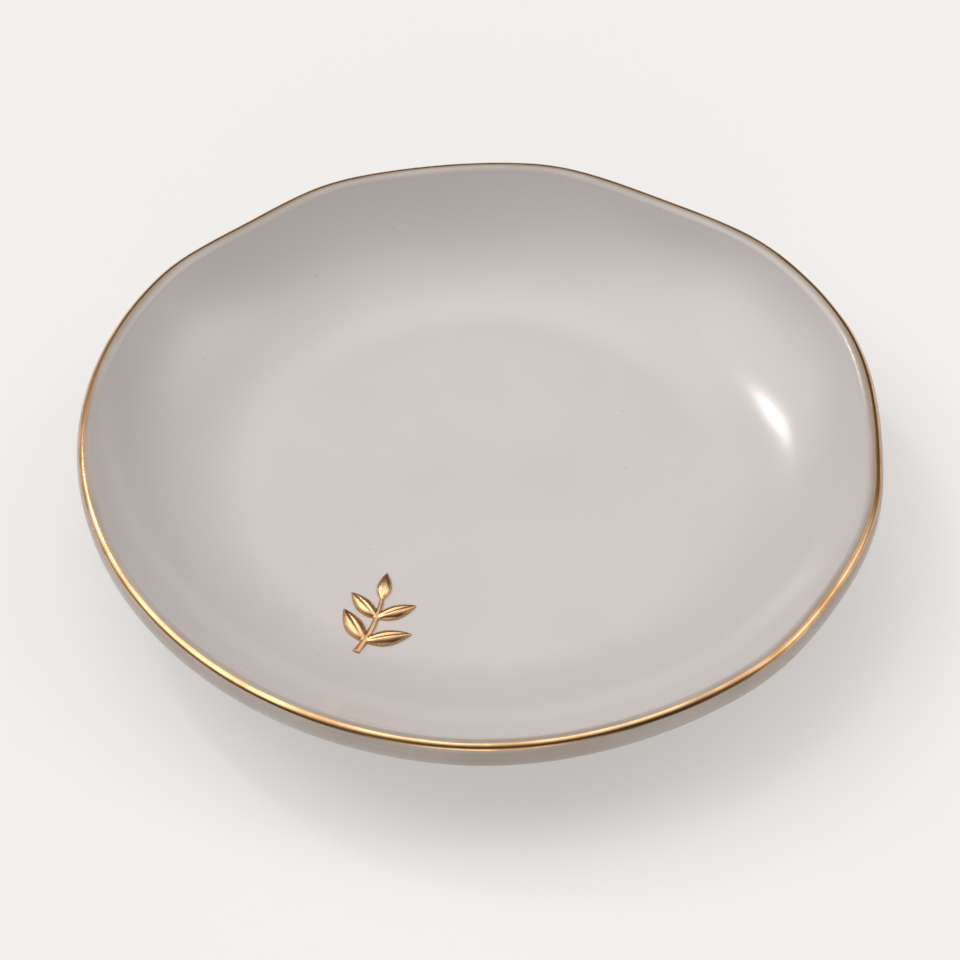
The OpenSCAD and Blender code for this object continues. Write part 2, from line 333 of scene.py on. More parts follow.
class Wiring:
    """Adds nodes to one tree, in rows, and joins them."""

    def __init__(self, tree):
        self.tree = tree
        self.count = 0

    def add(self, kind, inputs=None, **settings):
        """A node with its settings; inputs maps a socket's name or number to its value"""
        node = self.tree.nodes.new(kind)
        node.location = (200 * (self.count % 10), -260 * (self.count // 10))
        self.count += 1
        for name, value in settings.items():
            setattr(node, name, value)
        for key, value in (inputs or {}).items():
            self.feed(node.inputs[key], value)
        return node

    def feed(self, socket, value):
        """Joins a socket to another, or sets its own value"""
        if isinstance(value, bpy.types.NodeSocket):
            self.tree.links.new(value, socket)
        else:
            socket.default_value = value

    def sum_up(self, operation, *values, clamp=False):
        """A Math node's result"""
        node = self.add("ShaderNodeMath", dict(enumerate(values)), operation=operation)
        node.use_clamp = clamp
        return node.outputs[0]

    plus = partialmethod(sum_up, "ADD")
    minus = partialmethod(sum_up, "SUBTRACT")
    times = partialmethod(sum_up, "MULTIPLY")
    over = partialmethod(sum_up, "DIVIDE")
    scaled = partialmethod(sum_up, "MULTIPLY_ADD")
    power = partialmethod(sum_up, "POWER")
    larger = partialmethod(sum_up, "MAXIMUM")
    exponent = partialmethod(sum_up, "EXPONENT")
    sine = partialmethod(sum_up, "SINE")
    cosine = partialmethod(sum_up, "COSINE")

    def shape(self, kind, inputs=None, **settings):
        """The first result of a Geometry node"""
        return self.add("GeometryNode" + kind, inputs, **settings).outputs[0]

    def dot(self, a, b):
        """How far a vector reaches along a direction"""
        node = self.add("ShaderNodeVectorMath", {0: a, 1: tuple(b)}, operation="DOT_PRODUCT")
        return node.outputs["Value"]

    def whole(self, operation, *values):
        """An Integer Math node's result"""
        node = self.add("FunctionNodeIntegerMath", dict(enumerate(values)), operation=operation)
        return node.outputs[0]

    def xyz(self, x, y, z):
        return self.add("ShaderNodeCombineXYZ", {0: x, 1: y, 2: z}).outputs[0]

    def fill(self, node, **inputs):
        """Feeds a node's sockets by name; an underscore in a name stands for a space"""
        for name, value in inputs.items():
            self.feed(node.inputs[name.replace("_", " ")], value)
        return node

    def group(self, make, **inputs):
        """A group node with its inputs"""
        tree = once(make)
        kind = tree.bl_idname.replace("Tree", "Group")
        return self.fill(self.add(kind, node_tree=tree), **inputs)

    def bump(self, height, **inputs):
        """The normal that a height gives"""
        return self.fill(self.add("ShaderNodeBump", {"Height": height}), **inputs).outputs[0]

    def colour_mix(self, factor, a, b):
        """A colour at a share of the way from a to b"""
        node = self.add("ShaderNodeMix", {0: factor, 6: a, 7: b}, data_type="RGBA")
        return node.outputs[2]

    def either(self, share, a, b):
        """One shader, the other, or a mixture of the two"""
        return self.add("ShaderNodeMixShader", {0: share, 1: a.outputs[0], 2: b.outputs[0]})

    def steady(self, value, low, high):
        """A smooth step from 0 at the low value to 1 at the high one"""
        node = self.add("ShaderNodeMapRange", {0: value, 1: low, 2: high},
                        interpolation_type="SMOOTHSTEP")
        return node.outputs[0]


def new_tree(name, kind, inputs, outputs):
    """A node tree with named sockets, its wiring, and its input and output nodes"""
    tree = bpy.data.node_groups.new(name, kind + "NodeTree")
    for direction, sockets in (("INPUT", inputs), ("OUTPUT", outputs)):
        for label, socket_kind in sockets:
            tree.interface.new_socket(
                name=label, in_out=direction, socket_type="NodeSocket" + socket_kind)
    net = Wiring(tree)
    given = net.add("NodeGroupInput").outputs
    made = net.add("NodeGroupOutput").inputs
    return tree, net, given, made


def once(make):
    """The node group that a function makes, named like it and made only once"""
    name = make.__name__.replace("_", " ").title()
    return bpy.data.node_groups.get(name) or make(name)


def floats(*labels):
    """Sockets for plain numbers"""
    return [(label, "Float") for label in labels]


# ---- Geometry Nodes ----

PRESS_INPUTS = floats("Press Depth", "Press Drop", "Floor Radius", "Rim Radius")
TURNED_INPUTS = [("Section", "Geometry"), ("Steps Round", "Int"), ("Finish", "Material"),
                 *PRESS_INPUTS]
MESH_OUTPUT = [("Geometry", "Geometry")]


def finger_press(name):
    """How much one finger press moves the lip, by the angle from its middle"""
    tree, net, given, made = new_tree(
        name, "Geometry", floats("Angle", "Direction", "Share", "Half Width"),
        floats("Push"))
    apart = net.minus(given["Angle"], given["Direction"])
    apart = net.sum_up("WRAP", apart, pi, -pi)
    apart = net.sum_up("ABSOLUTE", apart)
    way = net.over(apart, given["Half Width"], clamp=True)
    wave = net.cosine(net.times(way, pi))
    wave = net.scaled(wave, 0.5, 0.5)
    net.feed(made["Push"], net.times(wave, given["Share"]))
    return tree


def pressed_place(name):
    """Where a point of the section lies once the rim is turned and pressed"""
    tree, net, given, made = new_tree(
        name, "Geometry", floats("Radius", "Height", "Angle") + PRESS_INPUTS,
        [("Position", "Vector")])
    total = 0.0
    for direction, share, half in PRESSES:
        press = net.group(
            finger_press, Angle=given["Angle"], Share=share,
            Direction=radians(direction), Half_Width=radians(half))
        total = net.plus(total, press.outputs["Push"])
    way = net.minus(given["Radius"], given["Floor Radius"])
    span = net.minus(given["Rim Radius"], given["Floor Radius"])
    way = net.over(way, span, clamp=True)
    share = net.power(way, 2.0)
    push = net.times(total, given["Press Depth"])
    push = net.times(push, share)
    radius = net.minus(given["Radius"], push)
    sunk = net.times(push, given["Press Drop"])
    net.feed(made["Position"], net.xyz(
        net.times(radius, net.cosine(given["Angle"])),
        net.times(radius, net.sine(given["Angle"])),
        net.minus(given["Height"], sunk)))
    return tree


def turned_grid(net, given):
    """A grid with a row for each point of the section: its mesh, and for each of its points
    the row, the angle, and the place in the section"""
    size = net.add("GeometryNodeAttributeDomainSize", {"Geometry": given["Section"]})
    count = size.outputs["Point Count"]
    grid = net.add("GeometryNodeMeshGrid", {
        "Vertices X": net.whole("ADD", given["Steps Round"], 1), "Vertices Y": count})
    index = net.shape("InputIndex")
    row = net.whole("MODULO", index, count)
    turn = net.whole("DIVIDE_FLOOR", index, count)
    part = net.over(turn, given["Steps Round"])
    place = net.add("ShaderNodeSeparateXYZ", {0: from_section(net, given, row)}).outputs
    return grid.outputs["Mesh"], row, net.times(part, 2 * pi), place[0], place[2]


def pressed(net, given, radius, height, angle):
    """Where a point of the turned section lies once the rim is pressed"""
    sockets = {label.replace(" ", "_"): given[label] for label, kind in PRESS_INPUTS}
    place = net.group(pressed_place, Radius=radius, Height=height, Angle=angle, **sockets)
    return place.outputs["Position"]


def from_section(net, given, row, kind="FLOAT_VECTOR", name=None):
    """The section's own position, or its named value, for each row of the grid"""
    if name:
        value = net.add("GeometryNodeInputNamedAttribute", {"Name": name}, data_type=kind)
    else:
        value = net.add("GeometryNodeInputPosition")
    node = net.add("GeometryNodeSampleIndex", {
        "Geometry": given["Section"], "Value": value.outputs[0], "Index": row},
        data_type=kind)
    return node.outputs[0]


def finish_tree(net, given, made, mesh):
    """Welds the seams and poles, and gives the piece its finish"""
    mesh = net.shape("MergeByDistance", {"Geometry": mesh, "Distance": WELD})
    mesh = net.shape("SetShadeSmooth", {"Geometry": mesh})
    mesh = net.shape("RealizeInstances", {"Geometry": mesh})
    mesh = net.shape("SetMaterial", {"Geometry": mesh, "Material": given["Finish"]})
    net.feed(made["Geometry"], mesh)


def finish_coat(net, given, made, mesh, place, label, value):
    """Stores a value on each point of the grid, and moves the points to their places"""
    mesh = net.shape("StoreNamedAttribute", {
        "Geometry": mesh, "Name": label, "Value": value}, data_type="FLOAT", domain="POINT")
    mesh = net.shape("SetPosition", {"Geometry": mesh, "Position": place})
    finish_tree(net, given, made, mesh)


def turned_coat(name):
    """Turns a section round the dish's axis and presses its rim"""
    tree, net, given, made = new_tree(name, "Geometry", TURNED_INPUTS, MESH_OUTPUT)
    mesh, row, angle, radius, height = turned_grid(net, given)
    place = pressed(net, given, radius, height, angle)
    thin = from_section(net, given, row, "FLOAT", "thin")
    finish_coat(net, given, made, mesh, place, "thin", thin)
    return tree


def gilded_line(name):
    """Brushes a band of gold along the pressed lip, with slightly wandering edges"""
    tree, net, given, made = new_tree(
        name, "Geometry", TURNED_INPUTS + floats(
            "Crest Radius", "Crest Height", "Lip Radius", "Lean", "Half Width", "Wobble",
            "Strokes"), MESH_OUTPUT)
    mesh, row, angle, across, rise = turned_grid(net, given)
    # The two edges are so far apart in the noise that each wanders its own way
    way = net.xyz(
        net.times(net.cosine(angle), given["Strokes"]),
        net.times(net.sine(angle), given["Strokes"]),
        net.times(across, 0.8))
    noise = net.add("ShaderNodeTexNoise", {"Vector": way, "Scale": 1.0, "Detail": 3.0})
    stray = net.scaled(noise.outputs[0], 2.0, -1.0)
    wide = net.scaled(stray, given["Wobble"], 1.0)
    over = net.times(net.times(across, wide), given["Half Width"])
    over = net.plus(over, given["Lean"])
    reach = net.plus(given["Lip Radius"], rise)
    radius = net.scaled(reach, net.sine(over), given["Crest Radius"])
    height = net.scaled(reach, net.cosine(over), given["Crest Height"])
    place = pressed(net, given, radius, height, angle)
    finish_coat(net, given, made, mesh, place, "across", across)
    return tree


def leaf_blade(name):
    """A closed domed leaf along +Y, with a ridge and an incised midrib"""
    tree, net, given, made = new_tree(
        name, "Geometry", floats("Length", "Width", "Height", "Root"), MESH_OUTPUT)
    along_steps, round_steps = 48, 64
    # How far the widest place shifts, how round the sides, the dome and the ends are, and
    # how thin and how deep the midrib is
    shift, side_round, dome_round, end_round = 0.86, 0.92, 1.15, 0.6
    rib_thin, rib_deep = 7.0, 0.16
    grid = net.add("GeometryNodeMeshGrid",
                   {"Vertices X": along_steps + 1, "Vertices Y": round_steps + 1})
    index = net.shape("InputIndex")
    step = net.whole("DIVIDE_FLOOR", index, round_steps + 1)
    spoke = net.whole("MODULO", index, round_steps + 1)
    way = net.over(step, along_steps)
    turn = net.times(spoke, 2 * pi / round_steps)
    side, up = net.cosine(turn), net.sine(turn)
    # The leaf is widest a little below its middle and ends in a point
    bulge = net.power(way, shift)
    swell = net.sine(net.times(bulge, pi))
    swell = net.larger(swell, 0.0)
    half = net.times(net.power(swell, side_round), net.times(given["Width"], 0.5))
    dome = net.power(net.larger(up, 0.0), dome_round)
    rib = net.power(net.times(side, rib_thin), 2.0)
    rib = net.exponent(net.times(rib, -1.0))
    dome = net.minus(dome, net.times(rib, rib_deep))
    high = net.times(net.power(swell, end_round), given["Height"])
    top = net.times(dome, high)
    bottom = net.times(given["Root"], net.power(swell, 0.5))
    is_top = net.sum_up("GREATER_THAN", up, 0.0)
    top = net.times(top, is_top)
    below = net.power(net.sum_up("ABSOLUTE", up), 0.3)
    below = net.times(below, net.minus(1.0, is_top))
    height = net.minus(top, net.times(below, bottom))
    place = net.xyz(net.times(half, side), net.times(way, given["Length"]), height)
    mesh = net.shape("SetPosition", {"Geometry": grid.outputs["Mesh"], "Position": place})
    mesh = net.shape("MergeByDistance", {"Geometry": mesh, "Distance": WELD})
    net.feed(made["Geometry"], mesh)
    return tree


def leaf_sprig(name):
    """Grows pairs of leaves and an end leaf along a curved stem"""
    tree, net, given, made = new_tree(
        name, "Geometry",
        [("Section", "Geometry"), ("Leaf Rows", "Int"), ("Place", "Vector"),
         ("Finish", "Material")]
        + floats("Stem Length", "Stem Bend", "Stem Thickness", "Leaf Length", "Leaf Width",
                 "Leaf Height", "Leaf Splay", "Root", "Lean"), MESH_OUTPUT)

    def on_stem(share):
        """The place at a share of the stem's length, and the stem's turn there"""
        turn = net.over(given["Stem Length"], given["Stem Bend"])
        turn = net.times(turn, net.minus(share, SPRIG_LOW))
        x = net.times(given["Stem Bend"], net.cosine(turn))
        x = net.minus(x, given["Stem Bend"])
        y = net.times(given["Stem Bend"], net.sine(turn))
        return net.xyz(x, y, 0.0), turn

    pairs = net.whole("MULTIPLY", given["Leaf Rows"], 2)
    points = net.add("GeometryNodePoints", {"Count": net.whole("ADD", pairs, 1)})
    index = net.shape("InputIndex")
    row = net.whole("DIVIDE_FLOOR", index, 2)
    share = net.over(row, given["Leaf Rows"])
    last = net.sum_up("GREATER_THAN", share, 0.999)
    side = net.scaled(net.whole("MODULO", index, 2), 2.0, -1.0)
    side = net.times(side, net.minus(1.0, last))
    back = net.over(given["Stem Thickness"], given["Stem Length"])
    reach = net.scaled(share, 1 - STEM_BARE, STEM_BARE)
    reach = net.minus(reach, net.times(back, last))
    place, turn = on_stem(reach)
    away = net.times(side, given["Leaf Splay"])
    size = net.scaled(share, LEAF_TAPER - 1, 1.0)
    blade = net.group(
        leaf_blade, Length=given["Leaf Length"],
        Width=given["Leaf Width"], Height=given["Leaf Height"], Root=given["Root"])
    grown = net.shape("SetPosition", {"Geometry": points.outputs[0], "Position": place})
    leaves = net.shape("InstanceOnPoints", {
        "Points": grown, "Instance": blade.outputs[0],
        "Rotation": net.xyz(0.0, 0.0, net.minus(turn, away)),
        "Scale": net.xyz(size, size, size)})
    line = net.shape("CurvePrimitiveLine")
    line = net.shape("ResampleCurve", {"Curve": line, "Count": 48})
    factor = net.add("GeometryNodeSplineParameter").outputs["Factor"]
    line = net.shape("SetPosition", {"Geometry": line, "Position": on_stem(factor)[0]})
    slim = net.scaled(net.power(factor, 0.5), -STEM_TAPER, 1.0)
    line = net.shape("SetCurveRadius", {"Curve": line, "Radius": slim})
    wire = net.shape("CurvePrimitiveCircle", {
        "Resolution": 24, "Radius": net.times(given["Stem Thickness"], 0.5)})
    stem = net.shape("CurveToMesh", {
        "Curve": line, "Profile Curve": wire, "Scale": slim, "Fill Caps": True})
    both = net.add("GeometryNodeJoinGeometry")
    net.tree.links.new(leaves, both.inputs[0])
    net.tree.links.new(stem, both.inputs[0])
    placed = net.shape("Transform", {
        "Geometry": both.outputs[0], "Translation": given["Place"],
        "Rotation": net.xyz(0.0, 0.0, given["Lean"])})
    finish_tree(net, given, made, placed)
    return tree


# ---- Making pieces ----


def line_mesh(name, points, thin=None):
    """A chain of edges along the section, with how thin the glaze is at each point"""
    mesh = bpy.data.meshes.new(name)
    edges = [(k, k + 1) for k in range(len(points) - 1)]
    mesh.from_pydata([(x, 0.0, z) for x, z in points], edges, [])
    store = mesh.attributes.new("thin", "FLOAT", "POINT")
    store.data.foreach_set("value", thin or [0.0] * len(points))
    return mesh


def grow(name, mesh, tree, inputs, extra=(), sharp=35):
    """Runs a tree on a mesh and keeps its result as a plain closed mesh"""
    host = bpy.data.objects.new(name + "_host", mesh)
    bpy.context.scene.collection.objects.link(host)
    modifier = host.modifiers.new(tree.name, "NODES")
    modifier.node_group = tree
    ids = {s.name: s.identifier for s in tree.interface.items_tree if s.in_out == "INPUT"}
    for label, value in inputs.items():
        modifier[ids[label]] = value
    for kind, settings in extra:
        added = host.modifiers.new(kind.title(), kind)
        for key, value in settings.items():
            setattr(added, key, value)
    host.update_tag()
    bpy.context.view_layer.update()
    graph = bpy.context.evaluated_depsgraph_get()
    made = bpy.data.meshes.new_from_object(host.evaluated_get(graph))
    host.modifiers.clear()
    bpy.data.objects.remove(host)
    if len(made.polygons) < 10:
        raise RuntimeError(name + " came out empty")
    made.name = name
    work = bmesh.new()
    work.from_mesh(made)
    bmesh.ops.remove_doubles(work, verts=work.verts, dist=WELD)
    bmesh.ops.recalc_face_normals(work, faces=work.faces)
    loose = [e for e in work.edges if len(e.link_faces) != 2]
    if loose:
        raise RuntimeError(f"{name} has {len(loose)} open edges")
    if work.calc_volume(signed=True) < 0:
        bmesh.ops.reverse_faces(work, faces=work.faces)
    work.to_mesh(made)
    work.free()
    made.set_sharp_from_angle(angle=radians(sharp))
    piece = bpy.data.objects.new(name, made)
    bpy.context.scene.collection.objects.link(piece)
    made.materials.clear()
    made.materials.append(inputs["Finish"])
    return piece


def settle(piece, slot, *nodes):
    """Puts a finished piece on the dish's body, in the place of its solids"""
    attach(piece, "root")
    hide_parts(*nodes)


def turned_values(finish):
    """The values of the inputs that the turned and pressed trees share"""
    form, section = dish_form(bpy.context.scene)
    return {"Steps Round": form.steps, "Finish": finish, "Press Depth": form.press_depth,
            "Press Drop": form.press_drop, "Floor Radius": section.floor_r,
            "Rim Radius": section.crest_r - section.lip_r}


def turn_piece(name, points, thin, finish):
    """A piece turned from one closed section"""
    return grow(name, line_mesh(name, points, thin), once(turned_coat), turned_values(finish))


# ---- Finishes ----


def cloudiness(name):
    """Slow drifts of tone in a fired surface, and where they lie"""
    tree, net, given, made = new_tree(
        name, "Shader",
        [("Vector", "Vector"), ("Colour", "Color"), ("Tint", "Color")]
        + floats("Scale", "Amount"), [("Colour", "Color"), ("Mask", "Float")])
    noise = net.add("ShaderNodeTexNoise", {
        "Vector": given["Vector"], "Scale": given["Scale"], "Detail": 3.0,
        "Roughness": 0.45})
    mask = net.steady(noise.outputs[0], 0.3, 0.7)
    share = net.times(mask, given["Amount"])
    net.feed(made["Colour"], net.colour_mix(share, given["Colour"], given["Tint"]))
    net.feed(made["Mask"], mask)
    return tree


def fine_grain(name):
    """A small even grain, as a height"""
    tree, net, given, made = new_tree(
        name, "Shader", [("Vector", "Vector")] + floats("Scale", "Rough"),
        floats("Height"))
    noise = net.add("ShaderNodeTexNoise", {
        "Vector": given["Vector"], "Scale": given["Scale"], "Detail": 4.0,
        "Roughness": given["Rough"]})
    net.feed(made["Height"], noise.outputs[0])
    return tree


def pinpricks(name):
    """Sparse small specks: where they are, and how deep"""
    tree, net, given, made = new_tree(
        name, "Shader", [("Vector", "Vector")] + floats("Scale", "Size", "Share"),
        floats("Mask"))
    cells = net.add("ShaderNodeTexVoronoi", {
        "Vector": given["Vector"], "Scale": given["Scale"], "Randomness": 1.0})
    spot = net.over(cells.outputs["Distance"], given["Size"])
    spot = net.minus(1.0, spot, clamp=True)
    picked = net.add("ShaderNodeSeparateColor", {0: cells.outputs["Color"]}).outputs[0]
    picked = net.sum_up("LESS_THAN", picked, given["Share"])
    net.feed(made["Mask"], net.times(spot, picked))
    return tree


def new_finish(name, **constants):
    """A material with a Principled BSDF that has those constants, and its wiring"""
    material = bpy.data.materials.new(name)
    material.use_nodes = True
    tree = material.node_tree
    tree.nodes.clear()
    net = Wiring(tree)
    shader = net.add("ShaderNodeBsdfPrincipled")
    net.fill(shader, **constants)
    out = net.add("ShaderNodeOutputMaterial")
    tree.links.new(shader.outputs[0], out.inputs["Surface"])
    place = net.add("ShaderNodeTexCoord").outputs["Object"]
    return material, net, shader, place


def colour(values, share=1.0):
    """A colour with its alpha, at a share of its brightness"""
    return (*(share * v for v in values), 1.0)


def glaze_finish(name="Glaze"):
    """Warm off-white gloss glaze: soft clouds, thin warm edges, painted shade down the outside,
    faint orange peel, pinholes
    """
    found = bpy.data.materials.get(name)
    if found:
        return found
    tones = bpy.context.scene.ring_dish_colours
    material, net, shader, place = new_finish(name, IOR=1.5)
    clouds = net.group(
        cloudiness, Vector=place, Scale=55.0, Amount=1.0,
        Colour=colour(tones.glaze), Tint=colour(tones.glaze, 1.035))
    # The thin colour marks real thin glaze at the lip and the foot; outside it is also painted
    # shade, darker towards the bottom
    thin = net.add("ShaderNodeAttribute", attribute_name="thin").outputs["Fac"]
    uneven = net.scaled(clouds.outputs["Mask"], 0.5, 0.75)
    warmth_and_shade = net.times(thin, uneven, clamp=True)
    shade = net.colour_mix(warmth_and_shade, clouds.outputs["Colour"], colour(tones.thin))
    holes = net.group(pinpricks, Vector=place,
                      Scale=420.0, Size=0.11, Share=0.035).outputs["Mask"]
    speck = net.times(holes, 0.35)
    shade = net.colour_mix(speck, shade, colour(tones.thin, 0.55))
    peel = net.group(fine_grain, Vector=place, Scale=800.0, Rough=0.5)
    waves = net.group(fine_grain, Vector=place, Scale=45.0, Rough=0.3)
    gloss = net.scaled(peel.outputs[0], 0.05, 0.155)
    low = net.bump(waves.outputs[0], Strength=1.0, Distance=0.00022)
    fine = net.bump(peel.outputs[0], Strength=0.4, Distance=0.000012, Normal=low)
    net.fill(shader, Base_Color=shade, Roughness=gloss, Normal=fine)
    return material


def clay_finish(name, base, scale):
    """Matt fired clay, with a fine sandy grain and small drifts of tone"""
    found = bpy.data.materials.get(name)
    if found:
        return found
    material, net, shader, place = new_finish(name, IOR=1.45)
    clouds = net.group(
        cloudiness, Vector=place, Scale=scale, Amount=0.8,
        Colour=colour(base), Tint=colour([v * f for v, f in zip(base, (0.93, 0.9, 0.86))]))
    sand = net.group(fine_grain, Vector=place, Scale=1400.0, Rough=0.65).outputs[0]
    dark = net.times(net.steady(sand, 0.42, 0.3), 0.3)
    shade = net.colour_mix(dark, clouds.outputs["Colour"], colour(base, 0.6))
    rough = net.scaled(sand, 0.15, 0.72)
    grain = net.bump(sand, Strength=0.6, Distance=0.00006)
    net.fill(shader, Base_Color=shade, Roughness=rough, Normal=grain)
    return material


def gold_finish(name, scale, rub, matt):
    """Fired and burnished gold: drifts between bright and thin, fine brush grain, rubbed spots"""
    found = bpy.data.materials.get(name)
    if found:
        return found
    tones = bpy.context.scene.ring_dish_colours
    material, net, shader, place = new_finish(name, Metallic=1.0)
    clouds = net.group(
        cloudiness, Vector=place, Scale=scale,
        Colour=colour(tones.gold), Tint=colour(tones.gold_deep), Amount=rub)
    specks = net.group(pinpricks, Vector=place,
                       Scale=2200.0, Size=0.3, Share=0.3).outputs["Mask"]
    shade = net.colour_mix(net.times(specks, 0.25),
                           clouds.outputs["Colour"], colour(tones.gold_deep))
    grain = net.group(fine_grain, Vector=place, Scale=1500.0, Rough=0.6).outputs[0]
    rough = net.scaled(clouds.outputs["Mask"], 0.1, matt)
    rough = net.scaled(grain, 0.08, rough)
    brushed = net.bump(grain, Strength=0.5, Distance=0.00002)
    net.fill(shader, Base_Color=shade, Roughness=rough, Normal=brushed)
    return material


def seeing_rays(net):
    """Light Path's camera rays, and its glossy and transmission rays together"""
    path = net.add("ShaderNodeLightPath").outputs
    return path["Is Camera Ray"], net.larger(path["Is Glossy Ray"], path["Is Transmission Ray"])


def floor_finish(name="Studio Floor"):
    """Plain pale floor that takes the dish's shadow and isn't seen from below"""
    tones, stage = bpy.context.scene.ring_dish_colours, bpy.context.scene.ring_dish_stage
    material, net, shader = new_finish(
        name, Roughness=0.9, Base_Color=colour(tones.floor), Specular_IOR_Level=0.0)[:3]
    own = net.add("ShaderNodeEmission", {"Color": colour(tones.floor), "Strength": 1.0})
    seen = net.larger(*seeing_rays(net))
    shown = net.either(net.times(seen, stage.pale), shader, own)
    behind = net.add("ShaderNodeNewGeometry").outputs["Backfacing"]
    clear = net.add("ShaderNodeBsdfTransparent")
    either = net.either(behind, shown, clear)
    out = [n for n in material.node_tree.nodes if n.type == "OUTPUT_MATERIAL"][0]
    material.node_tree.links.new(either.outputs[0], out.inputs["Surface"])
    return material


# ---- Operators ----


class RINGDISH_OT_clay(bpy.types.Operator):
    """Finish the clay body"""

    bl_idname = "ring_dish.clay"
    bl_label = "Clay Body"

    def execute(self, context):
        tones = context.scene.ring_dish_colours
        clay = clay_finish("Fired Clay", tones.clay, 90.0)
        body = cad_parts["dish_body"]
        body.data.materials.clear()
        body.data.materials.append(clay)
        return {"FINISHED"}


class RINGDISH_OT_foot(bpy.types.Operator):
    """Turn the bare foot ring, with the fine lines that the turning tool left"""

    bl_idname = "ring_dish.foot"
    bl_label = "Foot Ring"

    def execute(self, context):
        form, section = dish_form(context.scene)
        outer, inner, edge = section.foot_r, section.foot_r - form.foot_width, form.foot_round
        # Lines that the turning tool left across the sole, and how deep they are
        lines, depth = 5, 0.00002
        wide = form.foot_width - 2 * edge

        def sole(t):
            return outer - edge - wide * t, depth * (1 - cos(2 * pi * lines * t))

        points = join_runs(
            [(outer, section.clay_z), (outer, edge)],
            quarter(outer - edge, edge, edge, 0, -90), run_of(40, sole),
            quarter(inner + edge, edge, edge, -90, -180),
            [(inner, edge), (inner, section.clay_z), (outer, section.clay_z)])
        clay = clay_finish("Fired Clay", context.scene.ring_dish_colours.clay, 90.0)
        piece = turn_piece("bare_foot", points, None, clay)
        settle(piece, "clay", "foot_ring")
        return {"FINISHED"}


class RINGDISH_OT_inside(bpy.types.Operator):
    """Turn and press the coat of glaze inside the dish"""

    bl_idname = "ring_dish.inside"
    bl_label = "Inside Glaze"

    def execute(self, context):
        form, section = dish_form(context.scene)
        lean = context.scene.ring_dish_gilding.lean
        top = section.inside(lean)
        under = section.inside(lean, form.glaze, 0.5)[::-1]
        edge = section.crest_r - section.lip_r
        thin = []
        for r, z in top:
            wall = min(1.0, max(0.0, (r - section.floor_r) / (edge - section.floor_r)))
            crest = min(1.0, max(0.0, (r - edge) / section.lip_r))
            thin.append(mix(WALL_THIN * wall, 1.0, crest**2))
        piece = turn_piece("glaze_inside", top + under, thin + [0.0] * len(under),
                           glaze_finish())
        settle(piece, "glaze", "inner_glaze")
        return {"FINISHED"}


class RINGDISH_OT_outside(bpy.types.Operator):
    """Turn and press the coat of glaze over the side and the underside"""

    bl_idname = "ring_dish.outside"
    bl_label = "Outside Glaze"

    def execute(self, context):
        form, section = dish_form(context.scene)
        lean = context.scene.ring_dish_gilding.lean
        bead = form.glaze
        stop = section.foot_r + form.bare + bead
        level = run_of(4, lambda t: (mix(section.floor_r, stop, t), section.foot_z))
        # The glaze ends in a rounded edge, where it was wiped away beside the foot
        top = join_runs(section.outside(lean), level,
                        quarter(stop, section.clay_z, bead, -90, -180))
        under = section.outside(lean, form.glaze, 0.5)[::-1]
        # Painted shade: the thin colour's share grows from the lip to 1 at the bottom, darkening
        # the side and the underside
        thin = [mix(1.0, OUTSIDE_THIN_AND_SHADE, z / form.height) for r, z in top]
        points = top + under + [top[0]]
        piece = turn_piece("glaze_outside", points,
                           thin + [OUTSIDE_THIN_AND_SHADE] * (len(under) + 1), glaze_finish())
        settle(piece, "glaze", "outer_glaze")
        return {"FINISHED"}


class RINGDISH_OT_recess(bpy.types.Operator):
    """Turn the patch of glaze inside the foot"""

    bl_idname = "ring_dish.recess"
    bl_label = "Recess Glaze"

    def execute(self, context):
        form, section = dish_form(context.scene)
        stop = section.foot_r - form.foot_width - form.bare
        bead, near = form.glaze, 0.004
        points = join_runs(
            run_of(30, lambda t: ((stop - bead) * t, section.foot_z)),
            quarter(stop - bead, section.clay_z, bead, -90, 0),
            [(stop, section.clay_z), (0.0, section.clay_z)])
        thin = [max(0.0, 1 - (stop - r) / near) ** 2 for r, z in points]
        piece = turn_piece("glaze_recess", points, thin, glaze_finish())
        settle(piece, "glaze", "base_glaze")
        return {"FINISHED"}


class RINGDISH_OT_line(bpy.types.Operator):
    """Brush the gilded line along the lip"""

    bl_idname = "ring_dish.line"
    bl_label = "Gilded Line"

    def execute(self, context):
        section = Section(context.scene.ring_dish_form)
        gilding = context.scene.ring_dish_gilding

        def crown(t):
            return 2 * t - 1, gilding.thickness * mix(1, GILD_EDGE, (2 * t - 1) ** 2)

        points = join_runs(run_of(16, crown), [(1, 0), (1, -SUNK)],
                           run_of(4, lambda t: (1 - 2 * t, -SUNK)),
                           [(-1, -SUNK), crown(0)])
        values = {
            **turned_values(gold_finish("Rim Gold", 160.0, 0.9, 0.09)),
            "Crest Radius": section.crest_r, "Crest Height": section.lip_z,
            "Lip Radius": section.lip_r, "Lean": gilding.lean, "Strokes": 9.0,
            "Half Width": gilding.width / 2 / section.lip_r, "Wobble": gilding.wobble}
        piece = grow("gilded_line", line_mesh("gilded_line", points), once(gilded_line), values)
        settle(piece, "gilding", "rim_gilding")
        return {"FINISHED"}


